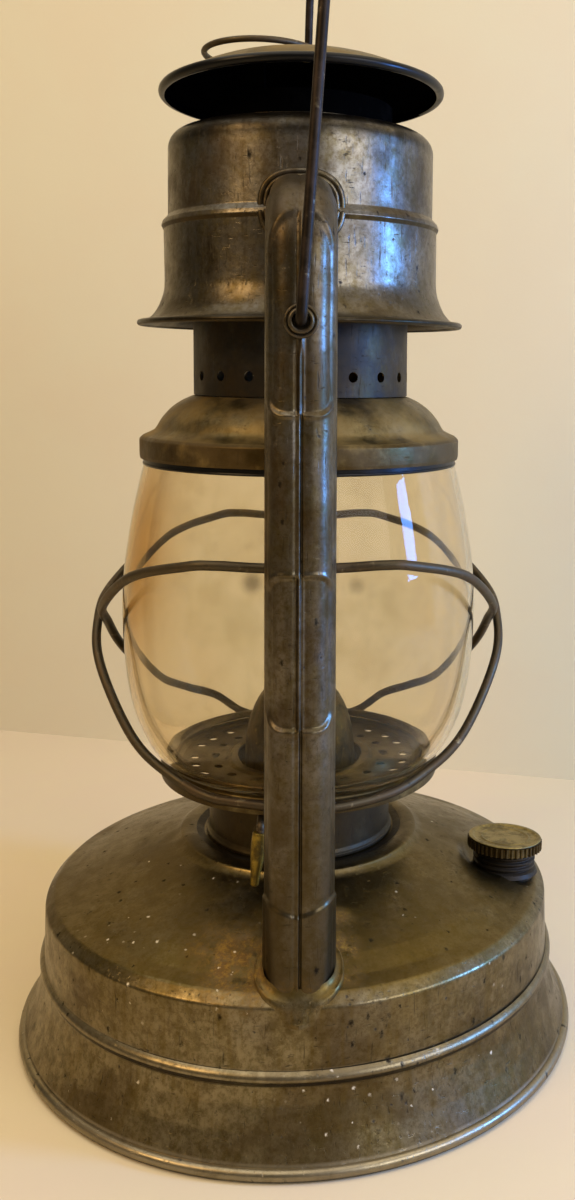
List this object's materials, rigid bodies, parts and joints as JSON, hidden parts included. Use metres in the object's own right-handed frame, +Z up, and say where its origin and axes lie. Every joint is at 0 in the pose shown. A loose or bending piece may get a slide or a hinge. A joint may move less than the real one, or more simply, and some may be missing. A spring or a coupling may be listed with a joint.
{
  "type": "hurricane lantern",
  "caption": "Kerosene hurricane lantern with a flared round fount, two side air tubes, a short glass globe in guard wires, a perforated chimney, a rain cap and a wire bail.",
  "frame": {"origin": "centre of the round foot, on the surface that the lantern stands on", "axes": "+Z up, +X towards the filler cap, +/-Y towards the two side tubes, with the lift lever by the tube at -Y"},
  "size_m": [0.1986, 0.1986, 0.4474],
  "materials": {
    "tinplate": "tarnished tin plate, worn bare metal with olive and brown staining",
    "dark_tin": "dull dark tin plate",
    "soot_tin": "tin plate blackened by soot",
    "rusty_wire": "round steel wire, brown with rust",
    "brass": "dull brass",
    "clear_glass": "clear blown glass with a faint amber tint",
    "cork": "compressed cork",
    "cotton": "woven flat cotton wick"
  },
  "bodies": {
    "body": {"canopy": "tinplate", "air_collar": "dark_tin", "filler_neck": "tinplate", "fount_dome": "tinplate", "fount_skirt": "tinplate", "fount_bottom": "dark_tin", "air_chamber_floor": "dark_tin", "burner_screw_ring": "brass", "ear_front": "tinplate", "tube_front": "tinplate", "elbow_front": "tinplate", "foot_flange_front": "tinplate", "tube_collar_front": "tinplate", "ear_rear": "tinplate", "tube_rear": "tinplate", "elbow_rear": "tinplate", "foot_flange_rear": "tinplate", "tube_collar_rear": "tinplate", "burner_body": "brass", "burner_cone": "brass", "wick_tube": "brass"},
    "bail": {"bail": "rusty_wire"},
    "lever": {"lever_crank": "rusty_wire", "lever_finger": "brass"},
    "globe_carrier": {"globe_plate": "dark_tin", "lift_lug": "dark_tin", "guard_wire_front": "rusty_wire", "guard_wire_rear": "rusty_wire", "globe": "clear_glass", "globe_seat_ring": "soot_tin"},
    "chimney": {"globe_holder": "tinplate", "chimney": "dark_tin", "rain_cap": "soot_tin", "cap_strut_1": "soot_tin", "cap_strut_2": "soot_tin", "cap_strut_3": "soot_tin", "ring_staple": "soot_tin"},
    "lift_ring": {"lift_ring": "rusty_wire"},
    "wick_raiser": {"wick_shaft": "brass", "spur_wheel_1": "brass", "spur_wheel_2": "brass", "wick_knob": "brass"},
    "wick": {"wick": "cotton"},
    "filler_seal": {"filler_gasket": "cork"},
    "filler_cap": {"filler_cap": "tinplate"}
  },
  "joints": [
    {"name": "bail_swing", "type": "hinge", "parent": "body", "child": "bail", "pos_m": [0, 0, 0.24545], "axis": [0, 1, 0], "range_deg": [-147.6, 142.4]},
    {"name": "lever_turn", "type": "hinge", "parent": "body", "child": "lever", "pos_m": [-0.0123, 0, 0.087], "axis": [0, -1, 0], "range_deg": [0, 45]},
    {"name": "globe_lift", "type": "slide", "parent": "body", "child": "globe_carrier", "axis": [0, 0, 1], "range_m": [0, 0.0136]},
    {"name": "chimney_lift", "type": "slide", "parent": "globe_carrier", "child": "chimney", "axis": [0, 0, 1], "range_m": [0, 0.02]},
    {"name": "ring_flip", "type": "hinge", "parent": "chimney", "child": "lift_ring", "pos_m": [0.0055, 0, 0.3391], "axis": [0, 1, 0], "range_deg": [0, 180]},
    {"name": "wick_turn", "type": "hinge", "parent": "body", "child": "wick_raiser", "pos_m": [-0.0046, 0.00345, 0.0767], "axis": [-0.6, -0.8, 0], "range_deg": [-160, 80]},
    {"name": "wick_rise", "type": "slide", "parent": "body", "child": "wick", "axis": [0, 0, 1], "range_m": [-0.0118, 0.0059]},
    {"name": "cap_turn", "type": "hinge", "parent": "filler_seal", "child": "filler_cap", "pos_m": [0.07386, -0.01064, 0.05396], "axis": [0.0346, 0.0567, 0.9978], "range_deg": [0, 720]},
    {"name": "cap_rise", "type": "slide", "parent": "body", "child": "filler_seal", "axis": [0.0346, 0.0567, 0.9978], "range_m": [0, 0.00601]}
  ],
  "couplings": [
    {"joint": "lever_turn", "follows": "globe_lift", "rad_per_m": 57.4},
    {"joint": "wick_rise", "follows": "wick_turn", "m_per_rad": 0.0042},
    {"joint": "cap_rise", "follows": "cap_turn", "m_per_rad": 0.00047746}
  ]
}
